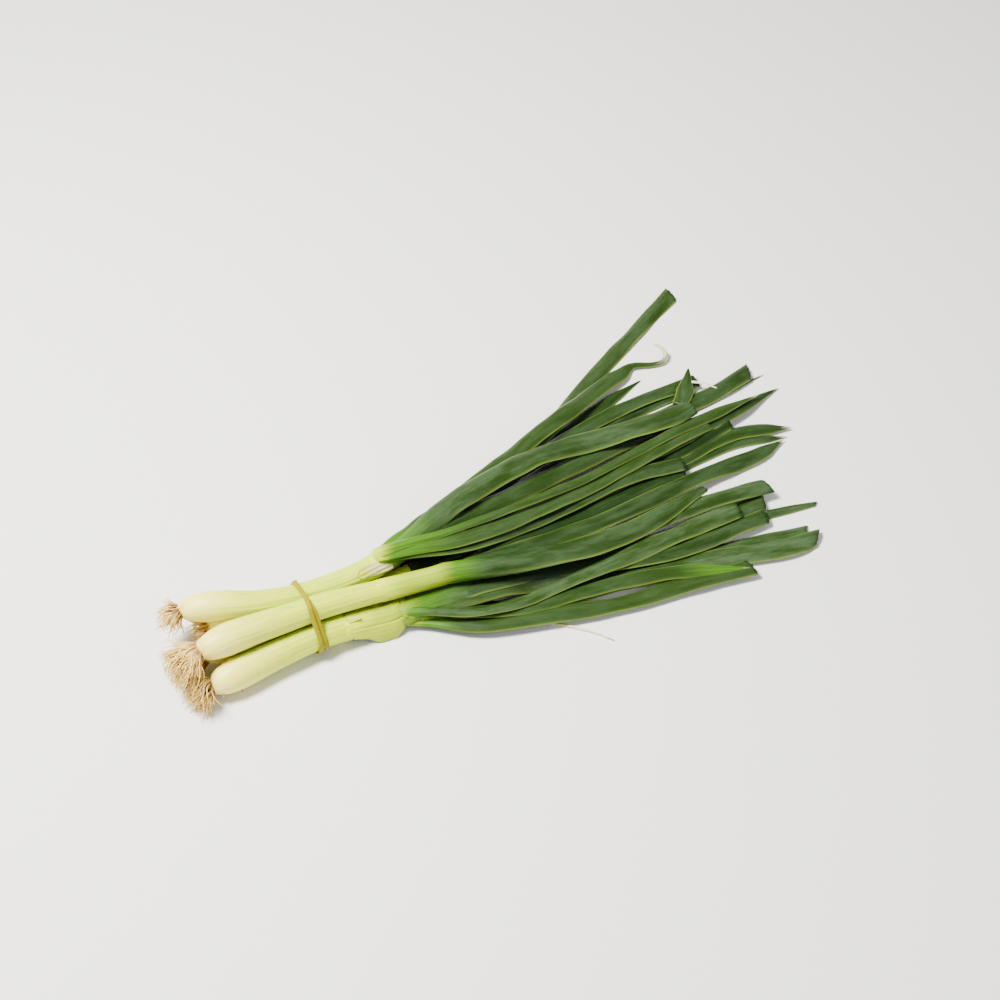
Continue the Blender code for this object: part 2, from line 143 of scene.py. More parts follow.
def smooth(values, passes):
    """Evens out values along a path and keeps its two ends."""
    values = np.array(values, float)
    for _ in range(passes):
        values[1:-1] = (values[:-2] + 2 * values[1:-1] + values[2:]) / 4
    return values


# ------------ reading the CAD


def node_triangles(name):
    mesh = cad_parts[name].data
    mesh.calc_loop_triangles()
    points = np.array([v.co for v in mesh.vertices], float)
    corners = np.array([t.vertices for t in mesh.loop_triangles], int)
    return points, corners


def cut(points, corners, at, normal, reach):
    """Where a plane cuts a mesh, near a point."""
    side = (points - at) @ normal
    found = []
    for i, j in ((0, 1), (1, 2), (2, 0)):
        a, b = corners[:, i], corners[:, j]
        hit = (side[a] > 0) != (side[b] > 0)
        a, b = a[hit], b[hit]
        t = (side[a] / (side[a] - side[b]))[:, None]
        found.append(points[a] + (points[b] - points[a]) * t)
    found = np.vstack(found)
    return found[np.linalg.norm(found - at, axis=1) < reach]


def spine(name, step, inset=0.4 * MM, cuts=36, reach=30 * MM):
    """The middle line of a long CAD node that runs along +X, and its half width and half height there."""
    points, corners = node_triangles(name)
    low, high = points[:, 0].min() + inset, points[:, 0].max() - inset
    x_axis = np.array([1.0, 0, 0])
    rough = []
    for x in np.linspace(low, high, cuts):
        hit = cut(points, corners, np.array([x, 0, 0]), x_axis, math.inf)
        if len(hit) > 2:
            rough.append((hit.min(axis=0) + hit.max(axis=0)) / 2)
    path = resample(smooth(rough, 2), step=step)
    middle, half = [], []
    ahead = unit(np.gradient(path, axis=0))
    for at, along in zip(path, ahead):
        across = unit(np.array([-along[1], along[0], 0.0]))
        hit = cut(points, corners, at, along, reach)
        if len(hit) < 3:
            continue
        u, z = (hit - at) @ across, hit[:, 2]
        middle.append((*(at + across * (u.min() + u.max()) / 2)[:2], (z.min() + z.max()) / 2))
        half.append(((u.max() - u.min()) / 2, (z.max() - z.min()) / 2))
    return np.array(middle), np.array(half)


def squared(middle, half, start=True, end=True, reach=4 * MM):
    """Takes the rows next to a flat end from further in, because a slanting plane cuts only part of it."""
    along = arc(middle)
    middle, half = middle.copy(), half.copy()
    for wanted, near in ((start, along < reach), (end, along > along[-1] - reach)):
        if not wanted:
            continue
        inside = np.flatnonzero(~near)
        k, step = (inside[0], 1) if near[0] else (inside[-1], -1)
        ahead = unit(middle[k + step * 2] - middle[k])
        rows = np.flatnonzero(near)
        middle[rows] = middle[k] - ahead * (abs(along[rows] - along[k]))[:, None]
        half[rows] = half[k]
    return middle, half


# ------------ building meshes


def tube_faces(count, sides, closed=False):
    """The faces between neighbouring rings of points, and from the last ring to the first if closed."""
    faces = []
    for k in range(count if closed else count - 1):
        a, b = k * sides, (k + 1) % count * sides
        faces += [(a + i, a + (i + 1) % sides, b + (i + 1) % sides, b + i) for i in range(sides)]
    return faces


def swept(name, rings, fields):
    """A mesh through rings of points, with both ends filled. Fields are float values for each point."""
    rings = np.asarray(rings, float)
    count, sides, _ = rings.shape
    values = {key: np.broadcast_to(v, (count, sides)).reshape(-1) for key, v in fields.items()}
    faces = tube_faces(count, sides)
    first, last, middle = 0, (count - 1) * sides, count * sides
    for i in range(sides):
        j = (i + 1) % sides
        faces += [(first + j, first + i, middle), (last + i, last + j, middle + 1)]
    points = np.vstack([rings.reshape(-1, 3), rings[0].mean(axis=0), rings[-1].mean(axis=0)])
    values = {key: np.r_[v, v[[first, last]]] for key, v in values.items()}
    return make_mesh(name, points, faces, values)


def placed(name, data):
    made = bpy.data.objects.new(name, data)
    bpy.context.scene.collection.objects.link(made)
    return made


def make_mesh(name, points, faces, values):
    mesh = bpy.data.meshes.new(name)
    mesh.from_pydata([tuple(p) for p in points], [], faces)
    for key, value in values.items():
        field = mesh.attributes.new(key, "FLOAT", "POINT")
        field.data.foreach_set("value", np.ascontiguousarray(value, np.float32))
    mesh.update()
    mesh.calc_loop_triangles()
    v = np.array(points)
    t = np.array([x.vertices for x in mesh.loop_triangles])
    if np.einsum("ij,ij->i", v[t[:, 0]], np.cross(v[t[:, 1]], v[t[:, 2]])).sum() < 0:
        mesh.flip_normals()
    mesh.shade_smooth()
    return placed(name, mesh)


def put(piece, material, slot, *nodes):
    piece.data.materials.append(material)
    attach(piece, ROOT)
    if nodes:
        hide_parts(*nodes)
    return piece


def joined(name, parts):
    """One mesh from several (points, faces, values) parts."""
    points, faces, values = [], [], {}
    start = 0
    for p, f, v in parts:
        points.append(p)
        faces += [tuple(i + start for i in face) for face in f]
        for key, value in v.items():
            values.setdefault(key, []).append(value)
        start += len(p)
    return make_mesh(name, np.vstack(points), faces, {k: np.concatenate(v) for k, v in values.items()})


class Cover:
    """How high the pile of leaves and shanks reaches over the floor, on average round each spot, for
    painting shade on leaves that lie low in it.
    """

    cell = 1.5 * MM
    margin = 12 * MM
    splits = 12  # of a triangle's side, so that each cell under it is met

    def __init__(self, names, reach):
        low, high = (np.array(v[:2]) for v in CAD_BOX)
        self.low = low - self.margin
        size = ((high + self.margin - self.low) / self.cell).astype(int) + 2
        top = np.zeros(size)
        n = self.splits
        share = np.array([(i, j, n - i - j) for i in range(n + 1) for j in range(n + 1 - i)]) / n
        for name in names:
            points, corners = node_triangles(name)
            spots = np.einsum("sk,tkc->tsc", share, points[corners]).reshape(-1, 3)
            np.maximum.at(top, tuple(self.cells(spots, size).T), spots[:, 2])
        w = int(reach / self.cell)
        total = np.pad(top, w + 1).cumsum(axis=0).cumsum(axis=1)
        k = 2 * w + 1
        self.mean = (total[k:, k:] - total[:-k, k:] - total[k:, :-k] + total[:-k, :-k]) / k**2

    def cells(self, spots, size):
        found = np.round((spots[:, :2] - self.low) / self.cell).astype(int)
        return np.clip(found, 0, np.array(size) - 1)

    def shade_below_pile(self, rings, full=9 * MM):
        """0 on top of the pile, 1 where a point lies this far below the mean height round it: how much
        painted shade it gets.
        """
        spots = rings.reshape(-1, 3)
        mean = self.mean[tuple(self.cells(spots, self.mean.shape).T)]
        return np.clip((mean - spots[:, 2]) / full, 0, 1).reshape(rings.shape[:-1])


# Heights of the pile, for the painted shade on low-lying leaves
COVER = Cover([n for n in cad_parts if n.startswith(("leaf_", "stem_"))], 10 * MM)


# ------------ materials


class Nodes:
    """A short way to write a node tree."""

    def __init__(self, name):
        self.material = bpy.data.materials.new(name)
        self.material.use_nodes = True
        self.tree = self.material.node_tree
        self.shader = self.tree.nodes["Principled BSDF"]

    def add(self, kind, **settings):
        node = self.tree.nodes.new(kind)
        for key, value in settings.items():
            setattr(node, key, value)
        return node

    def link(self, source, socket):
        self.tree.links.new(source, socket)

    def feed(self, socket, value):
        if isinstance(value, bpy.types.NodeSocket):
            self.link(value, socket)
        else:
            socket.default_value = value

    def field(self, name):
        return self.add("ShaderNodeAttribute", attribute_name=name).outputs["Fac"]

    def math(self, operation, a, b=0.0):
        node = self.add("ShaderNodeMath", operation=operation)
        self.feed(node.inputs[0], a)
        self.feed(node.inputs[1], b)
        return node.outputs[0]

    def times(self, a, b):
        return self.math("MULTIPLY", a, b)

    def span(self, value, low, high, to_low=0.0, to_high=1.0):
        """Eases from to_low to to_high as the value goes from low to high."""
        node = self.add("ShaderNodeMapRange", clamp=True, interpolation_type="SMOOTHSTEP")
        for socket, v in zip(node.inputs, (value, low, high, to_low, to_high)):
            self.feed(socket, v)
        return node.outputs[0]

    def mix(self, factor, a, b):
        node = self.add("ShaderNodeMix", data_type="RGBA")
        self.feed(node.inputs[0], factor)
        for socket, colour in ((node.inputs[6], a), (node.inputs[7], b)):
            if isinstance(colour, tuple):
                colour = (*colour, 1.0)
            self.feed(socket, colour)
        return node.outputs[2]

    def vary(self, pattern, low, high, pair):
        """From one colour of a pair to the other as the pattern goes from low to high."""
        return self.mix(self.span(pattern, low, high), *pair)

    def vector(self, x, y, z):
        node = self.add("ShaderNodeCombineXYZ")
        for socket, value in zip(node.inputs, (x, y, z)):
            self.feed(socket, value)
        return node.outputs[0]

    def noise(self, vector, detail=3.0, rough=0.55):
        node = self.add("ShaderNodeTexNoise")
        self.link(vector, node.inputs["Vector"])
        node.inputs["Scale"].default_value = 1.0
        node.inputs["Detail"].default_value = detail
        node.inputs["Roughness"].default_value = rough
        return node.outputs["Fac"]

    def grain(self, per_along, per_wide, detail=3.0, rough=0.55):
        """Noise over a piece, about this many features for each mm along it and across it."""
        along = self.times(self.field("along"), per_along)
        wide = self.times(self.field("wide"), per_wide)
        return self.noise(self.vector(along, wide, self.field("seed")), detail, rough)

    def bump(self, height, distance, strength, under=None):
        node = self.add("ShaderNodeBump")
        node.inputs["Strength"].default_value = strength
        node.inputs["Distance"].default_value = distance
        self.link(height, node.inputs["Height"])
        if under is not None:
            self.link(under, node.inputs["Normal"])
        return node.outputs["Normal"]

    def finish(self, colour, roughness, normal=None, **fixed):
        self.feed(self.shader.inputs["Base Color"], colour)
        self.feed(self.shader.inputs["Roughness"], roughness)
        if normal is not None:
            self.link(normal, self.shader.inputs["Normal"])
        for key, value in fixed.items():
            self.shader.inputs[key.replace("_", " ")].default_value = value
        return self.material


# Base colours, linear. A pair holds the two ends of a variation over the surface
LEAF_FRESH = (0.018, 0.042, 0.004)
# The dark end of a leaf's tone, partly painted shade on the leaves lying low
LEAF_DARK = (0.005, 0.016, 0.002)
LEAF_STREAK = (0.031, 0.064, 0.006)
LEAF_VEIN = (0.008, 0.026, 0.003)
LEAF_BLOOM = (0.052, 0.09, 0.038)
# Painted highlight along leaf edges, and the pale wall of a cut end
LEAF_RIM_HIGHLIGHT_AND_CUT_WALL = (0.2, 0.3, 0.04)
LEAF_SPECK = (0.1, 0.15, 0.05)
# Painted shade for leaf points lying low in the pile
LEAF_PAINTED_SHADE = (0.004, 0.012, 0.002)
LEAF_RUST = (0.2, 0.105, 0.045)
LEAF_VIVID = ((0.03, 0.1, 0.003), (0.068, 0.18, 0.005))
LEAF_YELLOW = ((0.24, 0.37, 0.003), (0.44, 0.54, 0.005))
LEAF_DRY = ((0.56, 0.48, 0.23), (0.86, 0.82, 0.56))
# Painted shade inside the hollow of a cut leaf end
LEAF_HOLLOW_SHADE = ((0.008, 0.024, 0.003), (0.034, 0.066, 0.01))
LIME = ((0.56, 0.68, 0.004), (0.69, 0.78, 0.012))
BULB_WHITE = ((0.98, 0.84, 0.27), (0.96, 0.85, 0.15))
SHANK_TINT = (0.4, 0.64, 0.02)
SHANK_VEIN = (0.43, 0.58, 0.008)
SHANK_STREAK = (0.92, 0.92, 0.5)
SHANK_NECK = (0.38, 0.56, 0.02)
SHANK_STAIN = (0.56, 0.33, 0.17)
# Painted shade where one shank touches another
SHANK_CONTACT_SHADE = (0.06, 0.07, 0.004)
ROOT_PLATE = ((0.24, 0.1, 0.035), (0.5, 0.3, 0.12))
ROOT_PALE = ((0.58, 0.37, 0.09), (0.94, 0.7, 0.21))
ROOT_SHADE = (0.48, 0.27, 0.07)
ROOT_BROWN = (0.2, 0.07, 0.022)
BAND_YELLOW = ((0.23, 0.195, 0.0), (0.285, 0.24, 0.0))
BAND_WORN = (0.36, 0.3, 0.0)
FLOOR_PALE = (0.8, 0.79, 0.77, 1.0)


def leaf_material():
    """Waxy leaf: fine veins along it, a patchy bloom, paler towards its base and dry at its tip. It has
    painted highlights along its edges, and painted shade low in the pile and inside its hollow end.
    """
    n = Nodes("leaf_skin")
    streak = n.grain(0.02, 0.9)
    vein = n.grain(0.008, 2.6, 2.0, 0.4)
    fine = n.grain(0.25, 5.0, 2.0)
    patch = n.grain(0.035, 0.16, 3.0, 0.6)
    speck = n.grain(0.8, 1.4, 3.0, 0.6)
    # Darker tone, partly painted shade on the leaves lying low in the bunch
    colour = n.mix(n.field("tone"), LEAF_FRESH, LEAF_DARK)
    colour = n.mix(n.span(streak, 0.4, 0.75, 0.0, 0.35), colour, LEAF_STREAK)
    colour = n.mix(n.span(vein, 0.5, 0.64, 0.0, 0.35), colour, LEAF_VEIN)
    bloom = n.times(n.field("bloom"), n.span(patch, 0.34, 0.66))
    bloom = n.times(bloom, n.span(fine, 0.3, 0.66, 0.45, 1.0))
    colour = n.mix(bloom, colour, LEAF_BLOOM)
    # Painted highlight along the leaf's edges, and the pale wall at a cut end
    colour = n.mix(n.times(n.field("edge"), 0.85), colour, LEAF_RIM_HIGHLIGHT_AND_CUT_WALL)
    colour = n.mix(n.span(n.field("young"), 0.0, 0.5), colour, n.vary(vein, 0.35, 0.65, LEAF_VIVID))
    colour = n.mix(n.span(n.field("young"), 0.5, 1.0), colour, n.vary(vein, 0.35, 0.65, LEAF_YELLOW))
    colour = n.mix(n.field("pale"), colour, n.vary(vein, 0.35, 0.65, LIME))
    colour = n.mix(n.field("dry"), colour, n.vary(fine, 0.35, 0.65, LEAF_DRY))
    colour = n.mix(n.span(speck, 0.66, 0.8, 0.0, 0.3), colour, LEAF_SPECK)
    # Painted shade on leaf points that lie low in the pile
    colour = n.mix(n.times(n.field("deep"), 0.9), colour, LEAF_PAINTED_SHADE)
    # Painted shade inside the hollow of a cut end
    colour = n.mix(n.field("inner"), colour, n.vary(streak, 0.3, 0.7, LEAF_HOLLOW_SHADE))
    colour = n.mix(n.field("rust"), colour, LEAF_RUST)
    rough = n.span(n.math("ADD", bloom, n.times(fine, 0.3)), 0.0, 1.1, 0.33, 0.58)
    bump = n.bump(vein, 0.00032, 0.55)
    bump = n.bump(fine, 0.0001, 0.45, bump)
    bump = n.bump(speck, 0.00012, 0.3, bump)
    return n.finish(
        colour, rough, bump, Specular_IOR_Level=0.17, Subsurface_Weight=0.1,
        Subsurface_Radius=(0.6, 1.0, 0.25), Subsurface_Scale=0.0012,
    )


def shank_material():
    """Moist white shank: translucent, faintly veined along it, greener towards the neck, with painted shade
    where it touches another shank.
    """
    n = Nodes("shank_skin")
    vein = n.grain(0.01, 1.5, 2.0, 0.45)
    fine = n.grain(0.05, 4.5, 2.0)
    patch = n.grain(0.05, 0.16, 3.0, 0.6)
    green = n.field("green")
    colour = n.mix(green, n.vary(patch, 0.3, 0.7, BULB_WHITE), n.vary(patch, 0.3, 0.7, LIME))
    tint = n.times(n.span(patch, 0.52, 0.74), n.span(green, 0.1, 0.8, 0.0, 0.55))
    colour = n.mix(tint, colour, SHANK_TINT)
    line = n.times(n.span(vein, 0.52, 0.66), n.span(green, 0.0, 0.6, 0.25, 0.75))
    colour = n.mix(line, colour, SHANK_VEIN)
    colour = n.mix(n.span(fine, 0.6, 0.75, 0.0, 0.3), colour, SHANK_STREAK)
    colour = n.mix(n.field("young"), colour, SHANK_NECK)
    stain = n.times(n.field("stain"), n.span(patch, 0.42, 0.66))
    colour = n.mix(stain, colour, SHANK_STAIN)
    # Painted shade along the lines where shanks touch
    colour = n.mix(n.times(n.field("gap"), 0.9), colour, SHANK_CONTACT_SHADE)
    colour = n.mix(n.field("plate"), colour, n.vary(fine, 0.35, 0.65, ROOT_PLATE))
    rough = n.span(fine, 0.2, 0.8, 0.26, 0.42)
    bump = n.bump(vein, 0.0003, 0.5)
    bump = n.bump(fine, 0.00008, 0.4, bump)
    return n.finish(
        colour, rough, bump, Specular_IOR_Level=0.28, Subsurface_Weight=0.25,
        Subsurface_Radius=(1.0, 0.9, 0.45), Subsurface_Scale=0.003,
    )


def root_material():
    """Dry, pale root, each a little different, and brown next to the root plate."""
    n = Nodes("fine_roots")
    seed = n.field("seed")
    grain = n.noise(n.vector(n.times(n.field("along"), 0.6), seed, 0.0), 3.0, 0.6)
    colour = n.vary(grain, 0.3, 0.7, ROOT_PALE)
    shade = n.math("FRACT", n.times(seed, 7.31))
    colour = n.mix(n.times(shade, 0.4), colour, ROOT_SHADE)
    colour = n.mix(n.field("brown"), colour, ROOT_BROWN)
    bump = n.bump(grain, 0.00012, 0.6)
    return n.finish(
        colour, 0.62, bump, Subsurface_Weight=0.15, Subsurface_Radius=(0.8, 0.5, 0.3),
        Subsurface_Scale=0.0008,
    )


def band_material():
    """Matt yellow rubber, a little worn."""
    n = Nodes("yellow_rubber")
    along, wide = n.field("along"), n.field("wide")
    at = n.vector(n.times(along, 0.35), n.times(wide, 1.2), 3.0)
    fine = n.noise(at, 4.0, 0.6)
    broad = n.noise(n.vector(n.times(along, 0.05), 0.0, 1.0), 2.0)
    colour = n.vary(broad, 0.3, 0.7, BAND_YELLOW)
    colour = n.mix(n.span(fine, 0.55, 0.8, 0.0, 0.4), colour, BAND_WORN)
    bump = n.bump(fine, 0.0001, 0.5)
    return n.finish(colour, n.span(fine, 0.2, 0.8, 0.5, 0.66), bump, Specular_IOR_Level=0.12)


LEAF_SKIN = leaf_material()
SHANK_SKIN = shank_material()
ROOT_SKIN = root_material()
BAND_SKIN = band_material()


# ------------ stems


STEM_NAMES = ("near", "middle", "far", "left", "right")
STEM_SIDES = 80
STEM_STEP = 1.5 * MM


class Stem:
    """The middle line, the radius and the side directions of a shank, as the CAD has it."""

    def __init__(self, name):
        middle, half = squared(*spine(f"stem_{name}", STEM_STEP), start=False)
        radius = half.mean(axis=1)
        self.path = smooth(middle, 6)
        self.radius = smooth(radius, 3)
        self.along = arc(self.path) / MM
        self.length = self.along[-1]
        self.ahead, self.across, self.up = directions(self.path)

    def at(self, along):
        """Position, radius, across and up at a distance along the stem in mm."""

        def pick(values):
            if values.ndim == 1:
                return np.interp(along, self.along, values)
            return np.column_stack(
                [np.interp(np.atleast_1d(along), self.along, v) for v in values.T]
            )

        beyond = np.maximum(np.atleast_1d(along) - self.length, 0)[:, None] * MM
        return pick(self.path) + beyond * self.ahead[-1], pick(self.radius), pick(self.across), pick(self.up)


STEMS = {name: Stem(name) for name in STEM_NAMES}


def stem_surface(stem, along, angle, lift):
    """Points at angles round the stem: 0 is up, and it grows towards the near side (-Y)."""
    place, radius, across, up = stem.at(along)
    r = (np.atleast_1d(radius)[:, None] + lift)[..., None]
    out = up[:, None, :] * np.cos(angle)[..., None] - across[:, None, :] * np.sin(angle)[..., None]
    return place[:, None, :] + out * r


# Angle round each shank of the edge of its outer sheath, in degrees
SHEATH_EDGE = {"left": 62.0, "right": 8.0, "near": 76.0, "middle": 20.0, "far": -30.0}
# How far from the neck a shank sinks in under the sheath of its outermost leaf, in mm
SHEATHS = {"left": 5, "right": 46, "near": 38}
# Grooves along a shank: how many go round it, and their height in mm
GROOVES = ((9, 0.09), (17, 0.08), (29, 0.05))
GAP_WIDTH = 3.2  # mm to the next shank at which the shade between them starts


def contact_shade(stem, rings):
    """Painted shade: 1 where a shank touches another one, falling to 0 at GAP_WIDTH from it."""
    gap = np.full(rings.shape[:2], np.inf)
    for other in STEMS.values():
        if other is not stem:
            away = np.linalg.norm(rings[:, :, None] - other.path[::2], axis=3) - other.radius[::2]
            gap = np.minimum(gap, away.min(axis=2) / MM)
    return (1 - np.clip(gap / GAP_WIDTH, 0, 1)) ** 1.5


def make_stem(name, seed):
    stem = STEMS[name]
    rng = np.random.default_rng(seed)
    turn = np.linspace(0, 2 * math.pi, STEM_SIDES, endpoint=False)[None, :]
    along = stem.along[:, None]
    share = along / stem.length
    drift = Wave(rng, 90, 2)(stem.along)[:, None] * 0.1
    grooves = sum(height * np.cos(k * (turn + drift) + rng.uniform(0, 6.28)) for k, height in GROOVES)
    grooves = grooves * ease((along - 14) / 40)
    dents = Wave(rng, 55, 3)(stem.along)[:, None] * 0.18 * np.cos(turn - rng.uniform(0, 6.28))
    # The outer sheath ends in a low step along one side, which runs out towards the bulb
    edge = math.radians(SHEATH_EDGE[name]) + 0.25 * (share - 0.5) + drift
    behind = (turn - edge + math.pi) % (2 * math.pi) - math.pi
    step = 0.34 * ease((behind + 0.03) / 0.06) * ease((2.6 - behind) / 2.4) * ease((share - 0.32) / 0.12)
    # The leaf whose sheath wraps the neck takes over there
    sink = 1.1 * ease((along - stem.length + SHEATHS.get(name, 0) - 3) / 7) * (name in SHEATHS)
    lift = (grooves + dents + step - sink) * MM
    rings = stem_surface(stem, stem.along, np.broadcast_to(turn, lift.shape), lift)
    ragged = Wave(rng, 2.0, 3)(turn) * 2.2
    skin_stain = ease((along - 25) / 12) * ease((72 - along) / 14) * 0.16
    plate_stain = 0.5 * (1 - ease((along - 3) / 5))
    fields = {
        "along": along,
        "wide": turn * stem.radius[:, None] / MM,
        "seed": rng.uniform(0, 90),
        # Painted shade next to the other shanks
        "gap": contact_shade(stem, rings),
        "green": ease((along + ragged * 2 + 2) / 56),
        "young": 0.25 * ease((share - 0.8) / 0.2),
        "plate": 1 - ease((along + ragged * 0.5 - 0.6) / 1.8),
        "stain": skin_stain + plate_stain,
    }
    piece = swept(f"shank_{name}", rings, fields)
    return put(piece, SHANK_SKIN, "shank", f"stem_{name}")


def skin_patch(name, stem, start, end, centre, half, lift, seed, thick, **fields):
    """A thin flap of sheath on a stem, from start to end in mm along it.

    centre and half (degrees) are functions of the share t of its length. lift (mm) and the fields that
    vary are functions of t and of u, which goes from -1 to 1 across it.
    """
    count, sides = 28, 15
    t = np.linspace(0, 1, count)
    along = start + (end - start) * t
    u = np.linspace(-1, 1, sides)
    angle = np.radians(centre(t)[:, None] + half(t)[:, None] * u[None, :])
    outer = lift(t[:, None], u[None, :]) + np.zeros((count, sides))
    top = stem_surface(stem, along, angle, (outer + thick) * MM)
    low = stem_surface(stem, along, angle, outer * MM)
    rings = np.concatenate([top, low[:, ::-1]], axis=1)

    def both_faces(value):
        grid = np.broadcast_to(value(t[:, None], u[None, :]) if callable(value) else value, outer.shape)
        return np.concatenate([grid, grid[:, ::-1]], axis=1)

    fields = {"along": along[:, None], "wide": angle * stem.radius.max() / MM, "seed": seed, **fields}
    return swept(name, rings, {key: both_faces(value) for key, value in fields.items()})


for index, stem_name in enumerate(STEM_NAMES):
    make_stem(stem_name, 40 + index)


# ------------ leaves


LEAF_SIDES = 32
LEAF_STEP = 2.5 * MM

# How each leaf looks, where it differs from LEAF_DEFAULTS. Distances are in mm.
# back: how far its sheath runs back on the shank (0 starts inside the neck).
# wide: (share of length, width factor). shift: (distance from the neck, move to +Y).
# flat: where it has collapsed flat. thick: its thickness there. dome: rise of its middle.
# pale, young: where these colours fade, and slant: how obliquely. ripe: yellowing back from the tip.
# tone: 0 fresh to 1 dark green; on leaves low in the bunch the dark is partly painted shade. bloom: how
# waxy. dry: length of its dry tip. tail: points that its tip follows.
# end: cut, tube or point. taper: length of a point. shear: how oblique a cut end is.
LEAF_LOOKS = {
    "right_front": dict(
        back=46, pale=(-44, -28), young=(-20, 28), flat=85, bloom=0.6, thick=2.6,
        wide=((0, 1), (0.2, 1.06), (0.55, 1.1), (1, 0.75)),
    ),
    "near_broad": dict(
        back=38, pale=(-30, -12), young=(-18, 62), tone=0.4, flat=70, slant=-0.9, bloom=0.85, thick=2.4,
        wide=((0, 1), (0.05, 1.25), (0.13, 1.5), (0.26, 1.35), (0.5, 1.12), (1, 1)),
        shift=((-12, 0), (10, 3), (30, 3.5), (60, 2.5), (100, 0)),
    ),
    "near_outer": dict(pale=(-16, -5), young=(-8, 52), tone=0.3, bloom=0.3, flat=80, thick=2.2),
    "near_yellow": dict(pale=(-8, 0), young=(8, 36), tone=0.35, end="point", dry=4, ripe=55),
    "near_upper": dict(
        pale=(-8, 0), young=(-10, 26), tone=0.3, bloom=0.9, flat=50, thick=2.2,
        shift=((-12, 0), (0, -3), (30, -3), (60, -1), (90, 0)),
        wide=((0, 0.5), (0.2, 0.42), (0.42, 0.62), (0.7, 1), (1, 1)),
    ),
    "near_lowest": dict(tone=0.25, bloom=1, shear=4),
    "near_under": dict(tone=0.75),
    "left_bright": dict(pale=(-2, 13), young=(-50, 75), tone=0.25, flat=70, thick=2.4),
    "left_narrow": dict(
        pale=(-2, 15), young=(-90, 110), tone=0, end="point", dry=4, flat=40, thick=2.4, dome=0.3,
        wide=((0, 0.8), (0.2, 0.6), (0.5, 0.68), (1, 1)),
    ),
    "left_broad": dict(
        back=6, pale=(-6, 10), young=(-30, 60), tone=0.5, end="tube", bloom=0.75, flat=75, thick=2.4,
        wide=((0, 1), (0.3, 0.98), (0.8, 1), (1, 1.05)), shift=((0, 0), (50, 1.5), (110, 1.5), (150, 0)),
    ),
    "left_curled": dict(
        tone=0.25, end="point", dry=15, bloom=0.35, taper=5, young=(-20, 50),
        shift=((-8, 0), (4, 3), (16, 4.5), (30, 3), (60, 0), (100, -1), (150, 0)),
        tail=((142, 68, 2), (156, 63, 2), (163, 62, 3), (167, 66, 5), (165, 70, 8), (161, 73, 10)),
        wide=((0, 1), (0.8, 1), (0.87, 0.42), (0.96, 0.22), (1, 0.14)),
    ),
    "left_long": dict(
        tone=0.4, bloom=0.5, shear=3, young=(-12, 40),
        shift=(
            (-8, 0), (4, 3.5), (16, 5), (30, 3.5), (50, 0), (80, -3), (150, -3.2), (200, -1), (240, 0),
        ),
    ),
    "left_ridge": dict(wide=((0, 1), (0.3, 1.15), (1, 1)), tone=0.55, dome=0.34, bloom=0.4),
    "left_inner": dict(tone=0.8),
    "right_tube": dict(end="tube", tone=0.5, bloom=0.85),
    "right_long": dict(end="point", tone=0.8, dry=2, taper=16),
    "right_dark": dict(tone=1, bloom=0.2, wide=((0, 1), (0.3, 1.25), (1, 1.1))),
    "far_short": dict(
        tone=0.75, end="point", taper=20, wide=((0, 1), (0.3, 1.5), (0.7, 1.4), (1, 1)),
    ),
    "far_broad": dict(tone=0.7, shear=4),
    "far_pointed": dict(tone=0.85, end="point", dry=2),
    "far_thin": dict(tone=0.55, end="point", dry=3),
    "far_lowest": dict(tone=0.9),
    "middle_dark": dict(
        tone=1, bloom=0.2, wide=((0, 1), (0.3, 1.4), (1, 1)),
        shift=((0, 0), (60, -4), (130, -4), (170, 0)),
    ),
    "middle_split": dict(tone=0.65, end="point", dry=3, taper=14),
    "middle_finger": dict(tone=0.75, end="point", dry=3, taper=12),
    "middle_narrow": dict(tone=0.45, bloom=0.9),
    "middle_lowest": dict(tone=0.35, bloom=0.95, shear=3),
}
LEAF_DEFAULTS = dict(
    back=0, pale=(-10, -3), young=(-3, 24), tone=0.6, flat=55, thick=2, dome=0.2,
    slant=0, end="cut", dry=0, bloom=0.45, wide=((0, 1), (1, 1)), shear=None,
    taper=34, tail=(), ripe=0, shift=((0, 0), (1, 0)),
)
INSIDE_NECK = 14  # how far an inner leaf reaches back into its neck, mm
# An inner leaf's base, half its width and half its height as shares of the neck's radius
BASE_WIDTH, BASE_HEIGHT = 0.62, 0.34
MOST_BASE_HEIGHT = 2.1 * MM
BASE_GROWTH = 9 * MM  # how much wider it may get once it is clear of the neck
SKIN = 0.32 * MM  # of a sheath over its shank
TUBE_LENGTH = 26  # over which a tube opens towards its end, mm
# Ribs along a leaf: how many, and their height in mm
LEAF_RIBS = ((13, 0.085), (23, 0.06))
WALL = 0.45 * MM  # of a leaf, seen at its cut end


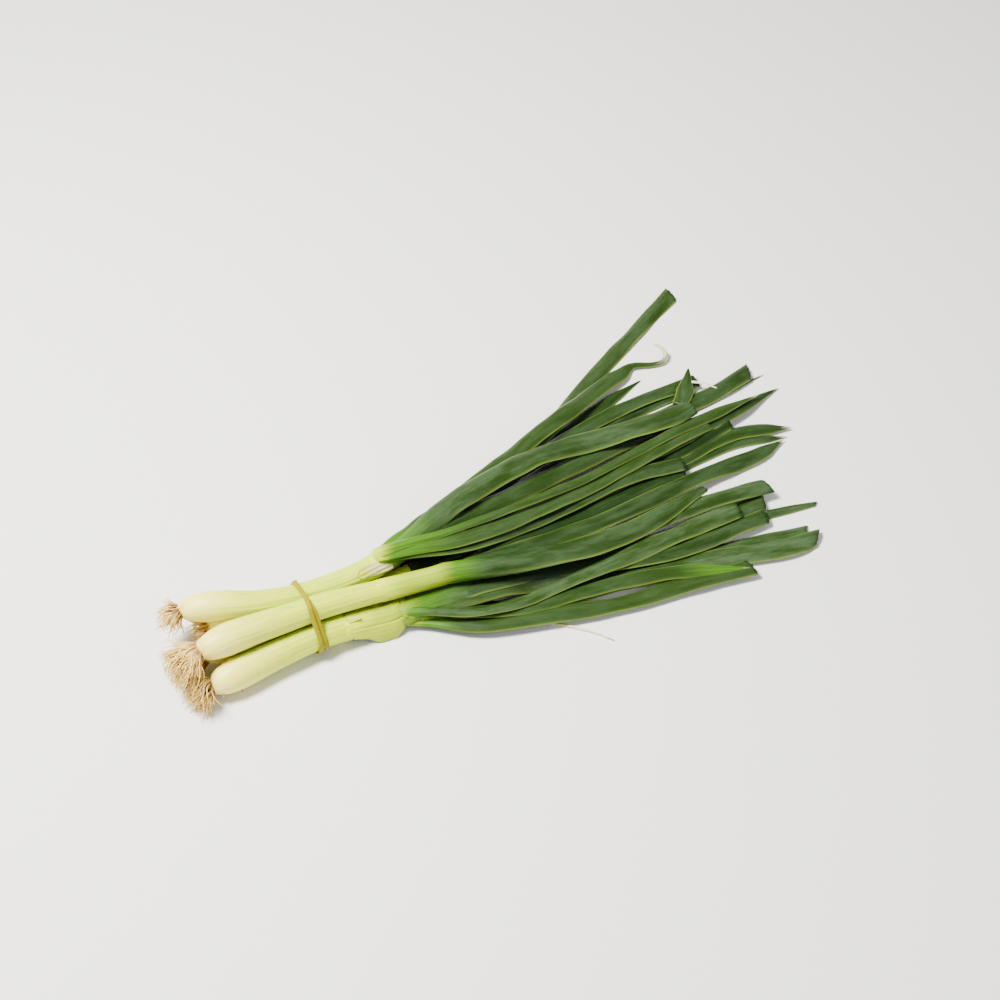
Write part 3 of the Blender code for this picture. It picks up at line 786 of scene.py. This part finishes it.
def leaf_path(name, owner, look):
    """The middle of a leaf, the distances along it from its neck (mm), its half widths, and its stem."""
    pointed = look["end"] == "point"
    middle, half = squared(*spine(name, 4 * MM), end=not pointed)
    middle, half = smooth(middle, 22), smooth(half[:, 0], 8)
    stem = STEMS[owner]
    back = look["back"] or INSIDE_NECK
    lead = np.linspace(stem.length - back, stem.length - 1.5, max(3, int(back / 5) + 1))
    place, radius, _, _ = stem.at(lead)
    lift = middle[0, 2] - stem.path[-1, 2]
    if look["back"]:
        # The outermost leaf flows on from the shank and rises to its own level as it flattens
        from_neck = arc(middle) / MM
        middle[:, 2] -= lift * (1 - ease(from_neck / look["flat"]))
    else:
        place = place + np.array([0, 0, lift]) * 0.45 * ease((lead - lead[0]) / back)[:, None]
    if look["tail"]:
        tail = np.array(look["tail"]) * MM
        kept = middle[:, 0] < tail[0, 0] - 7 * MM
        middle, half = np.vstack([middle[kept], tail]), half[kept]
        half = np.r_[half, np.full(len(tail), half[-1])]
    whole = np.vstack([place, middle])
    path = resample(whole, step=LEAF_STEP)
    source = arc(whole)
    along = arc(path)
    a = np.interp(along / along[-1], source / source[-1], np.r_[radius, half])
    return path, along / MM - back, a, stem


def leaf_section(look, stem, along, a):
    """The half widths and half heights of a leaf, from the half widths that the CAD's leaf has."""
    neck = stem.radius[-1]
    thick = look["thick"] / 2 * MM
    if look["back"]:
        skin = SKIN * ease((along + look["back"]) / 5)
        sheath = stem.at(stem.length + np.minimum(along, 0))[1] + skin
        a = np.where(along < 0, sheath, neck + skin + (a - neck - skin) * ease(along / 45))
        return a, a + (thick - a) * ease((along - 1) / look["flat"])
    a = np.minimum(a, neck * BASE_WIDTH + BASE_GROWTH * ease((along + 2) / 34))
    base = min(neck * BASE_HEIGHT, MOST_BASE_HEIGHT)
    return a, base + (thick - base) * ease(along / look["flat"])


def make_leaf(name, owner, seed):
    short_name = name.removeprefix("leaf_")
    look = {**LEAF_DEFAULTS, **LEAF_LOOKS.get(short_name, {})}
    rng = np.random.default_rng(seed)
    path, along, a, stem = leaf_path(name, owner, look)
    a, b = leaf_section(look, stem, along, a)
    sway = np.column_stack([0 * along, Wave(rng, 90)(along), 0.3 * Wave(rng, 80)(along)])
    path = path + sway * 0.4 * MM * ease(along / 40)[:, None]
    path[:, 1] += profile(look["shift"], along) * MM
    share = np.clip(along / along[-1], 0, 1)
    a = a * (1 + (0.05 + 0.04 * Wave(rng, 60)(along)) * ease(along / 30)) * profile(look["wide"], share)
    piece = blade(f"blade_{short_name}", path, along, a, b, look, rng)
    return put(piece, LEAF_SKIN, "leaf", name)


def section(along, a, b, flat, look, rng):
    """The angle of each point round a leaf, and its places across and up.

    Flattened, the leaf has thin edges and a middle that arches up off what it lies on.
    """
    angle = np.linspace(0, 2 * math.pi, LEAF_SIDES, endpoint=False)[None, :]
    u = np.cos(angle)
    rise = np.sin(angle) * (1 - 0.3 * flat * abs(u) ** 3)
    hump = Wave(rng, 60)(along)[:, None] * 0.35
    arch = look["dome"] * a[:, None] * flat * (1 - (u - hump * 0.5) ** 2) * (1 + 0.5 * hump)
    ribs = sum(height * np.cos(k * u + rng.uniform(0, 6)) for k, height in LEAF_RIBS) * MM
    ribs = ribs * np.sign(np.sin(angle)) * ease((1 - abs(u)) / 0.15)
    fold_at = 0.5 * Wave(rng, 120)(along)[:, None]
    fold = -0.35 * MM * np.exp(-(((u - fold_at) / 0.09) ** 2)) * flat
    return angle, a[:, None] * u, b[:, None] * rise + arch + ribs + fold * (np.sin(angle) > 0)


def blade(name, path, along, a, b, look, rng):
    """A hollow leaf that has collapsed flat, along a path with half widths a and half heights b."""
    from_tip = along[-1] - along
    if look["end"] == "point":
        taper = 0.07 + 0.93 * np.clip(from_tip / look["taper"], 0, 1) ** 0.66
        a, b = a * taper, b * np.sqrt(taper)
    flat = ease(along / look["flat"])
    if look["end"] == "tube":
        opening = (1 - ease(from_tip / TUBE_LENGTH)) ** 1.3
        b = b + (a.mean() * 0.44 - b) * opening
        a = a * (1 - 0.1 * opening)
        flat = flat * (1 - opening)
    flat = flat[:, None]
    angle, x, z = section(along, a, b, flat, look, rng)
    u = np.cos(angle)
    roll = np.radians(7 * Wave(rng, 85)(along))[:, None] * flat
    rings = laid_along(path, x, z, roll)
    ahead, across, up = directions(path)
    shear = rng.uniform(-2.5, 2.5) if look["shear"] is None else look["shear"]
    if look["end"] != "point":
        # The cut end is oblique and a little ragged
        push = (1 - ease(from_tip / 14))[:, None] * u * shear * MM
        push = push + (1 - ease(from_tip / 3))[:, None] * Wave(rng, 0.7)(u) * 0.45 * MM
        rings = rings + ahead[:, None, :] * push[..., None]
    grow = along[:, None] + look["slant"] * x / MM + Wave(rng, 0.45)(u * 1.3) * 4.0
    ragged = from_tip[:, None] + 3 * Wave(rng, 0.9)(u)
    fields = {
        "along": along[:, None] + 0 * x,
        # How much painted shade each point gets, from how low it lies in the pile
        "deep": COVER.shade_below_pile(rings),
        "wide": x / MM + 60 * (np.sin(angle) < 0),
        # Painted highlight along the two edges of the leaf
        "edge": abs(u) ** 14 * flat,
        "pale": 1 - ease((grow - look["pale"][0]) / (look["pale"][1] - look["pale"][0])),
        "young": 1 - ease((grow - look["young"][0]) / (look["young"][1] - look["young"][0])),
        "dry": (1 - ease((ragged - look["dry"] * 0.5) / max(look["dry"], 0.1))) * (look["dry"] > 0),
        "inner": 0 * x,
    }
    if look["ripe"]:
        # Yellowing from the tip back
        fields["young"] = np.maximum(fields["young"], 0.5 * (1 - ease((ragged - 4) / look["ripe"])))
    if look["end"] != "point":
        rings, fields = hollow_end(rings, fields, a, b, across, up, ahead, from_tip, look)
    fields["seed"] = rng.uniform(0, 90)
    fields["tone"] = look["tone"]
    fields["bloom"] = look["bloom"]
    return swept(name, rings, fields)


def hollow_end(rings, fields, a, b, across, up, ahead, from_tip, look):
    """Adds the wall's pale edge at a cut end, and behind it the hollow, painted dark as shade."""
    narrow = 1 - WALL / a[-1]
    low = max(0.2, 1 - WALL / b[-1])
    depth = 18.0 if look["end"] == "tube" else 5.0
    # The hollow narrows inwards: share of its depth, and of its width
    steps = ((0.0, 1.0), (0.2, 0.98), (0.5, 0.92), (1.0, 0.6))
    rows, more = [], []
    for deep, squeeze in steps:
        k = int(np.argmin(abs(from_tip - deep * depth)))
        middle = rings[k].mean(axis=0)
        local = rings[k] - middle
        u, w, f = local @ across[k], local @ up[k], local @ ahead[k]
        more.append(
            middle + across[k] * (u * narrow * squeeze)[:, None]
            + up[k] * (w * low * squeeze)[:, None] + ahead[k] * f[:, None]
        )
        rows.append(k)
    inside = (np.array([deep for deep, _ in steps]) > 0).astype(float)[:, None]
    added = {key: values[rows] for key, values in fields.items()}
    # The hollow's rings get the painted shade
    added["inner"] = added["inner"] + inside
    # The wall's pale rim at a cut end, in the colour of the painted edge highlight
    added["edge"] = added["edge"] + 1 - inside
    fields = {key: np.concatenate([fields[key], added[key]]) for key in fields}
    return np.concatenate([rings, np.array(more)]), fields


LEAF_NODES = sorted(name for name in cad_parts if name.startswith("leaf_"))
for index, node_name in enumerate(LEAF_NODES):
    make_leaf(node_name, node_name.split("_")[1], 100 + index)


def small_blade(name, points, widest, seed, slot="leaf", **look):
    """A small loose end of leaf along points given in mm."""
    look = {**LEAF_DEFAULTS, "end": "point", "pale": (-90, -80), "young": (-90, -80), "flat": 1, **look}
    rng = np.random.default_rng(seed)
    path = resample(np.array(points) * MM, step=0.8 * MM)
    along = arc(path) / MM
    a = widest * MM * profile(look["wide"], along / along[-1])
    b = np.full(len(path), look["thick"] / 2 * MM)
    return put(blade(name, path, along, a, b, look, rng), LEAF_SKIN, slot)


# The turned-up end of a broad leaf, and the dried curl beside it
small_blade(
    "fold_tip", [(150, 22, 4), (157, 27, 5.5), (164, 35, 7.5), (170, 43, 9.5)], 5.6, 501,
    taper=17, thick=1.2, tone=0.5, wide=((0, 0.85), (0.4, 1.0), (1, 0.7)),
)
small_blade(
    "dry_curl", [(162, 37, 6), (168, 33, 7), (174, 29, 6), (181, 22, 4)], 0.9, 502,
    slot="dried_leaf", dry=60, taper=6, thick=0.8,
)


# ------------ torn skins


SKIN_TONES = {"tone": 0.2, "edge": 0.0, "inner": 0.0}


def make_dried_stub():
    """The dried, rust-edged stub of an old leaf on the left neck."""
    neck = STEMS["left"].length
    stub = skin_patch(
        "dried_stub", STEMS["left"], neck - 16, neck + 5,
        centre=lambda t: 46 + 8 * t,
        half=lambda t: 33 * ease(t * 6 + 0.25) * (1 - 0.25 * t),
        lift=lambda t, u: (
            0.25 + 0.9 * ease((t - 0.55) / 0.45) + 0.5 * abs(u) ** 3 + 0.25 * np.cos(9 * u + 5 * t)
        ),
        seed=7, thick=0.4, bloom=0.2, young=0.0,
        pale=lambda t, u: 0.9 - 0.5 * t,
        dry=lambda t, u: ease((t - 0.1) / 0.5) * 0.7,
        rust=lambda t, u: ease((t - 0.8) / 0.2) * (0.5 + 0.4 * np.cos(7 * u)),
        **SKIN_TONES,
    )
    put(stub, LEAF_SKIN, "dried_leaf")


def torn_lift(t, u):
    """Height in mm of the torn sheath: it curls away from the shank on one side, most near its end."""
    rise = 5.4 * ease(t / 0.72) * (1 - 0.55 * ease((t - 0.86) / 0.14))
    return 0.15 + rise * ((u + 1) / 2) ** 2.2 + 0.3 * np.sin(14 * t) * ((u + 1) / 2)


def make_torn_sheath():
    sheath = skin_patch(
        "torn_sheath", STEMS["near"], 87, 114,
        centre=lambda t: 94 + 0 * t, half=lambda t: 31 + 0 * t, lift=torn_lift,
        seed=8, thick=0.45, bloom=0.1, dry=0.0, rust=0.0,
        young=lambda t, u: 0.7 + 0.2 * ((u + 1) / 2) * ease(t * 1.5),
        pale=lambda t, u: 0.9 - 0.75 * ease(t * 1.4) * (u + 1) / 2,
        **SKIN_TONES,
    )
    put(sheath, LEAF_SKIN, "leaf")


def make_torn_nick():
    nick = skin_patch(
        "torn_nick", STEMS["near"], 84, 92,
        centre=lambda t: 12 + 6 * t,
        half=lambda t: 13 * ease(t * 4 + 0.2) * (1 - 0.6 * t),
        lift=lambda t, u: 0.2 + 1.5 * t**2 + 0.3 * np.cos(6 * u),
        seed=9, thick=0.4, bloom=0.1, young=0.25, pale=0.85, dry=0.1, rust=0.0, **SKIN_TONES,
    )
    put(nick, LEAF_SKIN, "leaf")


make_dried_stub()
make_torn_sheath()
make_torn_nick()


# ------------ roots


ROOT_SIDES = 5
ROOT_STEP = 1.15 * MM
ROOT_GAP = 0.5 * MM  # from the middle of a root to a stem
ROOT_FLOOR = 0.55 * MM  # lowest middle of a root
# A root that bends past these is pressed back, so that it stays inside the CAD's box
ROOT_TOP, ROOT_BACK = 28 * MM, -211 * MM
# Two stray rootlets on the near bulb: mm along it, degrees round it, length in mm
STRAY_ROOTS = ((16, 118, 3.6), (6, 112, 3.0))

# stem: how many, length (mm), lean of the tuft (x, y, z), spread
TUFTS = {
    "right": (400, (16, 30), (-0.78, -0.32, -0.52), 0.74),
    "left": (120, (9, 18), (-0.45, 0.05, -0.95), 0.85),
    "near": (170, (9, 21), (-0.62, -0.62, -0.42), 0.75),
    "middle": (160, (10, 20), (-0.9, -0.1, -0.3), 0.7),
    "far": (70, (8, 14), (-0.8, 0.1, -0.4), 0.7),
}
STEM_BALLS = np.vstack([np.column_stack([s.path[::3], s.radius[::3]]) for s in STEMS.values()])


def keep_out(p):
    """Moves a point out of the stems and up off the floor."""
    away = p - STEM_BALLS[:, :3]
    distance = np.linalg.norm(away, axis=1)
    depth = STEM_BALLS[:, 3] + ROOT_GAP - distance
    k = int(np.argmax(depth))
    if depth[k] > 0:
        p = p + away[k] / max(distance[k], 1e-9) * depth[k]
    p[2] = max(p[2], ROOT_FLOOR)
    p[0] = max(p[0], CAD_BOX[0][0] + 0.6 * MM)
    return p


def root_path(rng, start, heading, length, lean):
    """A root that swings about as it grows, leans with its tuft and turns aside from the stems."""
    points = [start]
    direction = heading
    swing = rng.normal(size=3) * 0.1
    for _ in range(int(length * MM / ROOT_STEP)):
        swing = swing * 0.84 + rng.normal(size=3) * 0.062
        direction = unit(direction + 0.17 * lean + swing)
        p = keep_out(points[-1] + direction * ROOT_STEP)
        moved = p - points[-1]
        if np.linalg.norm(moved) < 0.2 * ROOT_STEP:
            break
        direction = unit(0.4 * direction + 0.6 * unit(moved))
        points.append(p)
    return smooth(np.array(points), 1)


def held_in(path):
    """Presses the outermost bends of a root back towards its tuft."""
    path = path.copy()
    path[:, 2] = np.where(path[:, 2] > ROOT_TOP, ROOT_TOP + (path[:, 2] - ROOT_TOP) * 0.42, path[:, 2])
    path[:, 0] = np.where(path[:, 0] < ROOT_BACK, ROOT_BACK + (path[:, 0] - ROOT_BACK) * 0.6, path[:, 0])
    return path


def root_tube(rng, path, thick):
    path = held_in(path)
    count = len(path)
    ahead = unit(np.gradient(path, axis=0))
    guide = unit(rng.normal(size=3))
    u = unit(np.cross(ahead, guide))
    v = np.cross(ahead, u)
    t = np.linspace(0, 1, count)
    radius = thick * (1 - 0.72 * t**1.6) * (1 + 0.1 * Wave(rng, 0.25)(t))
    angle = np.linspace(0, 2 * math.pi, ROOT_SIDES, endpoint=False)
    ring = u[:, None, :] * np.cos(angle)[None, :, None] + v[:, None, :] * np.sin(angle)[None, :, None]
    points = (path[:, None, :] + ring * radius[:, None, None]).reshape(-1, 3)
    faces = tube_faces(count, ROOT_SIDES)
    faces.append(tuple(range(ROOT_SIDES))[::-1])
    faces.append(tuple((count - 1) * ROOT_SIDES + i for i in range(ROOT_SIDES)))
    along = np.repeat(arc(path) / MM, ROOT_SIDES)
    brown = (1 - ease((along - 1.0) / 6.0)) * rng.uniform(0.5, 1.0)
    values = {"along": along, "seed": np.full(len(points), rng.uniform(0, 60)), "brown": brown}
    return points, faces, values


def make_tuft(name, seed):
    count, (shortest, longest), lean, spread = TUFTS[name]
    stem = STEMS[name]
    rng = np.random.default_rng(seed)
    lean = unit(np.array(lean))
    back, across, up = -stem.ahead[2], stem.across[2], stem.up[2]
    parts = []
    for _ in range(count):
        around = rng.uniform(0, 2 * math.pi)
        out = math.sqrt(rng.uniform(0.02, 1.0))
        radial = across * math.cos(around) + up * math.sin(around)
        along = 0.2 + 2.4 * out**3
        place, radius, _, _ = stem.at(along)
        start = place[0] + radial * min(out * 5.2 * MM, float(np.ravel(radius)[0]))
        heading = unit(back * (1.25 - out * spread) + radial * out * spread + lean * 0.25)
        length = rng.uniform(shortest, longest) * (1.0 - 0.2 * out)
        path = root_path(rng, start, heading, length, lean)
        if len(path) > 4:
            parts.append(root_tube(rng, path, rng.uniform(0.32, 0.56) * MM))
    if name == "near":
        for along, turn, size in STRAY_ROOTS:
            angle = np.radians([[turn]])
            foot = stem_surface(stem, along, angle, -0.4 * MM)[0, 0]
            out = unit(np.array([-0.25, -1.0, -0.1]))
            path = foot + out * np.linspace(0, size * MM, 6)[:, None]
            parts.append(root_tube(rng, path, 0.62 * MM))
    piece = joined(f"root_tuft_{name}", parts)
    return put(piece, ROOT_SKIN, "roots", f"roots_{name}")


for index, stem_name in enumerate(TUFTS):
    make_tuft(stem_name, 300 + index)


# ------------ band and strand


BAND_WIDTH = 2.7 * MM
BAND_THICKNESS = 0.9 * MM
BAND_CROSSING = 75.0  # angle round the bunch at which its two turns cross, degrees
BAND_GAP = 0.42 * MM  # to the stems
BAND_LAYERS = 0.1 * MM  # between the two turns where they cross
BAND_POINTS = 150  # per turn
BAND_SIDES = 16
BAND_STEP = 0.8  # between two rings, mm
STRAND_WIDTH, STRAND_THICKNESS = 2.3 * MM, 1.1 * MM
STRAND_SIDES = 12


def band_path(x_mid, splay):
    """Two turns round all the stems at x_mid, splayed to either side of it, and each point's angle."""
    circles = [
        [np.interp(x_mid, stem.path[:, 0], v) for v in (stem.path[:, 1], stem.path[:, 2], stem.radius)]
        for stem in STEMS.values()
    ]
    turn = np.linspace(0, 4 * math.pi, 2 * BAND_POINTS, endpoint=False)
    angle = turn + math.radians(BAND_CROSSING) - math.pi
    upper = (BAND_THICKNESS + BAND_LAYERS) * (1 + np.sin(turn / 2)) / 2
    offset = BAND_GAP + BAND_THICKNESS / 2 + upper
    points = []
    for facing, out in zip(angle, offset):
        n = np.array([math.cos(facing), math.sin(facing)])
        y, z, r = max(circles, key=lambda c: c[0] * n[0] + c[1] * n[1] + c[2])
        points.append((y + (r + out) * n[0], z + (r + out) * n[1]))
    wobble = 0.25 * MM * np.sin(turn * 1.5 + 1.0)
    path = np.column_stack([x_mid + splay * np.cos(turn / 2) + wobble, np.array(points)])
    for _ in range(2):
        path = (np.roll(path, 1, axis=0) + 2 * path + np.roll(path, -1, axis=0)) / 4
    return path, angle


def make_band():
    low, high = (np.array(v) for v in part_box("rubber_band"))
    path, angle = band_path((low[0] + high[0]) / 2, (high[0] - low[0] - BAND_WIDTH) / 2)
    ahead = unit(np.roll(path, -1, axis=0) - np.roll(path, 1, axis=0))
    out = np.column_stack([0 * angle, np.cos(angle), np.sin(angle)])
    side = unit(np.cross(ahead, out))
    out = np.cross(side, ahead)
    a = np.linspace(0, 2 * math.pi, BAND_SIDES, endpoint=False)
    u = np.sign(np.cos(a)) * abs(np.cos(a)) ** 0.55 * BAND_WIDTH / 2
    v = np.sign(np.sin(a)) * abs(np.sin(a)) ** 0.55 * BAND_THICKNESS / 2
    rings = path[:, None] + side[:, None] * u[None, :, None] + out[:, None] * v[None, :, None]
    count = len(rings)
    values = {"along": np.repeat(np.arange(count) * BAND_STEP, BAND_SIDES), "wide": np.tile(u / MM, count)}
    faces = tube_faces(count, BAND_SIDES, closed=True)
    piece = make_mesh("band_loop", rings.reshape(-1, 3), faces, values)
    return put(piece, BAND_SKIN, "band", "rubber_band")


def make_strand():
    middle, _ = spine("dried_strand", 3 * MM)
    path = resample(smooth(middle, 1), step=1.0 * MM)
    rng = np.random.default_rng(77)
    t = np.linspace(0, 1, len(path))
    a = STRAND_WIDTH / 2 * (1 - 0.72 * t**2)
    b = STRAND_THICKNESS / 2 * (1 - 0.6 * t**2)
    roll = (0.5 * Wave(rng, 0.4)(t))[:, None]
    angle = np.linspace(0, 2 * math.pi, STRAND_SIDES, endpoint=False)[None, :]
    x, z = a[:, None] * np.cos(angle), b[:, None] * np.sin(angle)
    rings = laid_along(path, x, z, roll)
    fields = {
        "along": (arc(path) / MM)[:, None], "wide": x / MM, "edge": 0.0, "seed": 5.0,
        "tone": 0.2, "bloom": 0.2, "young": 0.25, "pale": 0.5, "inner": 0.0,
        "dry": (0.2 + 0.8 * ease(t * 1.3))[:, None],
        "rust": (0.5 * ease((t - 0.85) / 0.15))[:, None],
    }
    piece = swept("loose_strand", rings, fields)
    return put(piece, LEAF_SKIN, "dried_leaf", "dried_strand")


make_band()
make_strand()


# ------------ floor, light, camera


def floor_material():
    n = Nodes("studio_floor")
    return n.finish(FLOOR_PALE, 0.75)


def make_stage():
    mesh = bpy.data.meshes.new("studio_floor")
    half = 6.0
    corners = [(-half, -half, 0), (half, -half, 0), (half, half, 0), (-half, half, 0)]
    mesh.from_pydata(corners, [], [(0, 1, 2, 3)])
    mesh.materials.append(floor_material())
    placed("studio_floor", mesh)


def area_light(name, place, size, watts, colour):
    data = bpy.data.lights.new(name, "AREA")
    data.shape = "DISK"
    data.size = size
    data.energy = watts
    data.color = colour
    lamp = placed(name, data)
    lamp.location = place
    lamp.rotation_euler = (-Vector(place)).to_track_quat("-Z", "Y").to_euler()


def make_lights():
    world = bpy.data.worlds.new("studio")
    world.use_nodes = True
    background = world.node_tree.nodes["Background"]
    background.inputs["Color"].default_value = (1.0, 1.0, 0.99, 1.0)
    background.inputs["Strength"].default_value = 0.45
    bpy.context.scene.world = world
    area_light("key", (-0.55, 0.25, 1.15), 0.42, 68.0, (1.0, 0.985, 0.94))
    area_light("fill", (0.5, -1.0, 0.8), 0.9, 6.0, (1.0, 1.0, 0.98))


def make_camera():
    azimuth, elevation, distance = math.radians(-28.0), math.radians(50.0), 1.0
    aim = Vector((0.008, -0.002, 0.015))
    back = Vector((
        math.sin(azimuth) * math.cos(elevation),
        -math.cos(azimuth) * math.cos(elevation),
        math.sin(elevation),
    ))
    data = bpy.data.cameras.new("camera")
    data.lens = 60.0
    camera = placed("camera", data)
    camera.location = aim + back * distance
    camera.rotation_euler = (-back).to_track_quat("-Z", "Y").to_euler()
    bpy.context.scene.camera = camera


make_stage()
make_lights()
make_camera()
